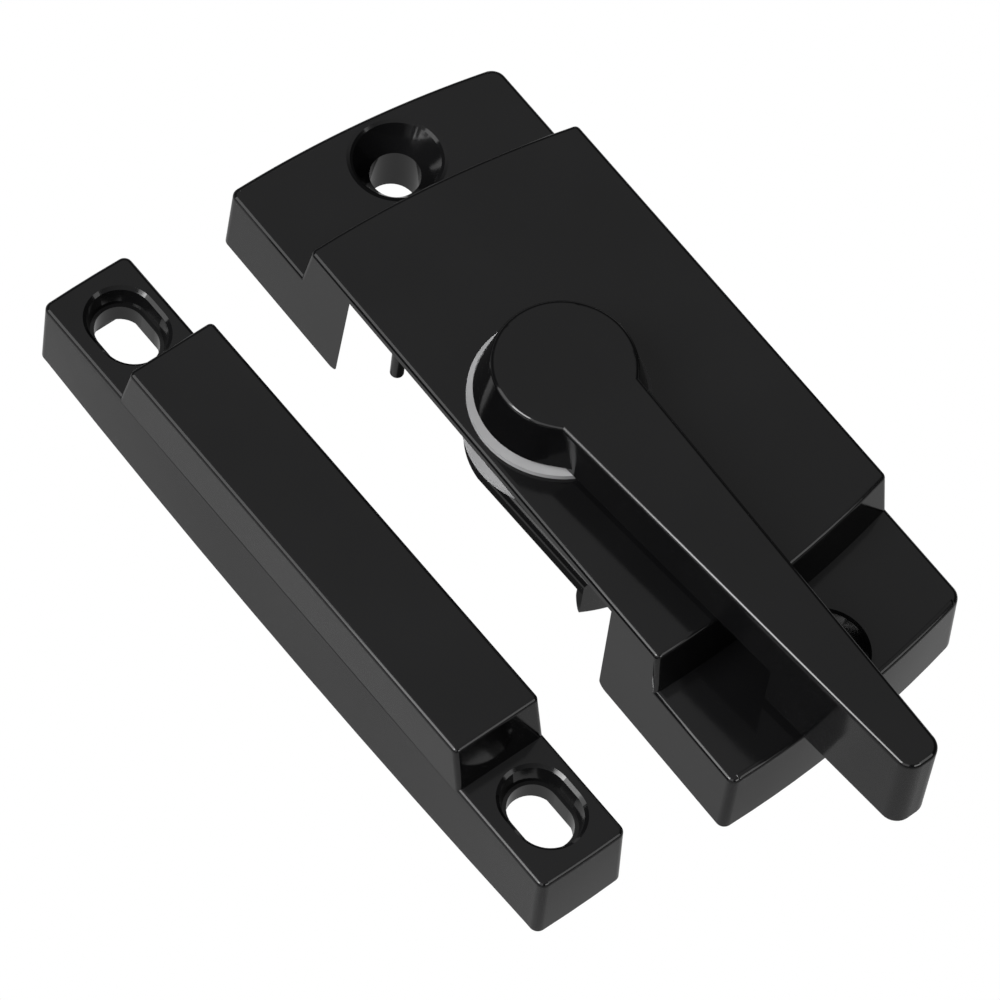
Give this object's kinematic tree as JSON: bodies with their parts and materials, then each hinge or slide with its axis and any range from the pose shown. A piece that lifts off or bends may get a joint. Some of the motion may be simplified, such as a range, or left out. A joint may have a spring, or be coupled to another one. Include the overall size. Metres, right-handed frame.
{
  "type": "sliding window lock",
  "caption": "Cam lock for a sliding window: stepped black housing, swinging tapered lever, hooked cam behind an open front, and a separate slotted keeper.",
  "frame": {"origin": "midway between the lock's two screw holes, on the plane it is screwed to", "axes": "+X along the housing towards the lever's tip, -Y towards the keeper, +Z away from the mounting plane"},
  "size_m": [0.0934, 0.0544, 0.021],
  "materials": {
    "black_casting": "gloss",
    "black_cam": "gloss",
    "grey_nylon": "satin",
    "steel": "satin"
  },
  "bodies": {
    "lock_body": {"housing": "black_casting", "upper_washer": "grey_nylon", "lower_washer": "grey_nylon", "keeper": "black_casting"},
    "lever_and_cam": {"lever": "black_casting", "spindle": "steel", "cam": "black_cam", "spring_washer": "steel", "plain_washer": "steel"}
  },
  "joints": [
    {"name": "lever_swing", "type": "hinge", "parent": "lock_body", "child": "lever_and_cam", "pos_m": [-0.00043, -0.00607, 0.0144], "axis": [0, 0, 1], "range_deg": [-1.5, 178.2]}
  ]
}
